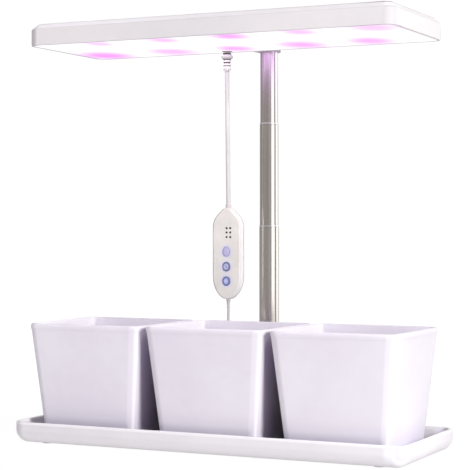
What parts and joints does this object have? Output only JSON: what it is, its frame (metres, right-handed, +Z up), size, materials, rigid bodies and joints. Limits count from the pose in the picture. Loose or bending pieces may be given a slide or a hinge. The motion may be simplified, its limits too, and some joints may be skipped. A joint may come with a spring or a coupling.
{
  "type": "plant grow lamp",
  "caption": "White desktop grow lamp: flat LED head on a telescopic steel mast over square pots standing in one tray, with a hanging button controller on its supply lead.",
  "frame": {"origin": "centre of the footprint of tray and mast socket, on the surface that the feet stand on", "axes": "+Z up, front of the lamp towards -Y, +X to the right seen from the front"},
  "size_m": [0.42, 0.2497, 0.423],
  "materials": {
    "tray_plastic": "satin white",
    "pot_plastic": "satin, cool white",
    "mast_steel": "polished lengthways",
    "end_ring_chrome": "bright",
    "nylon": "natural",
    "screw_steel": "plain",
    "head_plastic": "satin white",
    "diffuser": "frosted, lit white with magenta spots",
    "light_board": "white solder mask",
    "magenta_chip": "lit",
    "black_plastic": "fine grain",
    "plug_metal": "nickel",
    "plug_moulding": "soft moulded",
    "lamp_cable_sheath": "warm white sheath",
    "supply_cable_sheath": "light grey sheath",
    "controller_front": "warm light grey",
    "controller_rear": "satin white",
    "circuit_board": "green mask",
    "dark_window": "dark smoked",
    "button_lilac": "lit lilac",
    "button_blue": "lit blue",
    "rubber_foot": "matte"
  },
  "bodies": {
    "base": {"tray": "tray_plastic", "foot_front_left": "rubber_foot", "foot_rear_left": "rubber_foot", "foot_front_right": "rubber_foot", "foot_rear_right": "rubber_foot", "mast_lower_tube": "mast_steel", "mast_lower_end_ring": "end_ring_chrome", "mast_foot_plug": "nylon", "mast_socket_screw": "screw_steel", "supply_cable_lower": "supply_cable_sheath", "supply_cable_floor_run": "supply_cable_sheath", "supply_cable_coil": "supply_cable_sheath", "supply_cable_tail": "supply_cable_sheath", "usb_plug_grip": "plug_moulding", "usb_plug_shell": "plug_metal"},
    "left_pot": {"pot_left": "pot_plastic"},
    "middle_pot": {"pot_middle": "pot_plastic"},
    "right_pot": {"pot_right": "pot_plastic"},
    "mast_middle": {"mast_middle_tube": "mast_steel", "mast_middle_end_ring": "end_ring_chrome", "mast_middle_guide_bush": "nylon"},
    "head": {"mast_upper_tube": "mast_steel", "mast_upper_guide_bush": "nylon", "mast_top_plug": "nylon", "head_clamp_screw": "screw_steel", "head_cover": "head_plastic", "head_diffuser": "diffuser", "led_board": "light_board", "led_rear_1": "magenta_chip", "led_rear_2": "magenta_chip", "led_rear_3": "magenta_chip", "led_rear_4": "magenta_chip", "led_rear_5": "magenta_chip", "led_front_1": "magenta_chip", "led_front_2": "magenta_chip", "led_front_3": "magenta_chip", "led_front_4": "magenta_chip", "led_front_5": "magenta_chip", "power_jack": "black_plastic", "lamp_plug_barrel": "plug_metal", "lamp_plug_grip": "plug_moulding", "lamp_plug_strain_relief": "plug_moulding", "lamp_cable": "lamp_cable_sheath", "controller_front_shell": "controller_front", "controller_rear_shell": "controller_rear", "controller_board": "circuit_board", "controller_indicator_guide": "dark_window", "controller_top_bushing": "plug_moulding", "controller_bottom_bushing": "plug_moulding", "supply_cable_upper": "supply_cable_sheath"},
    "power_button": {"button_power": "button_lilac"},
    "timer_button": {"button_timer": "button_blue"},
    "dimmer_button": {"button_dimmer": "button_blue"}
  },
  "joints": [
    {"name": "mast_middle_slide", "type": "slide", "parent": "base", "child": "mast_middle", "axis": [0, 0, 1], "range_m": [-0.04, 0.06], "deforming": ["supply_cable_lower"]},
    {"name": "mast_upper_slide", "type": "slide", "parent": "mast_middle", "child": "head", "axis": [0, 0, 1], "range_m": [-0.04, 0.05], "deforming": ["supply_cable_upper"]},
    {"name": "left_pot_lift", "type": "slide", "parent": "base", "child": "left_pot", "axis": [0, 0, 1], "range_m": [0, 0.04]},
    {"name": "middle_pot_lift", "type": "slide", "parent": "base", "child": "middle_pot", "axis": [0, 0, 1], "range_m": [0, 0.04]},
    {"name": "right_pot_lift", "type": "slide", "parent": "base", "child": "right_pot", "axis": [0, 0, 1], "range_m": [0, 0.04]},
    {"name": "power_button_press", "type": "slide", "parent": "head", "child": "power_button", "axis": [0, 1, 0], "range_m": [0, 0.0008], "stiffness_N_per_m": 900},
    {"name": "timer_button_press", "type": "slide", "parent": "head", "child": "timer_button", "axis": [0, 1, 0], "range_m": [0, 0.0008], "stiffness_N_per_m": 900},
    {"name": "dimmer_button_press", "type": "slide", "parent": "head", "child": "dimmer_button", "axis": [0, 1, 0], "range_m": [0, 0.0008], "stiffness_N_per_m": 900}
  ]
}
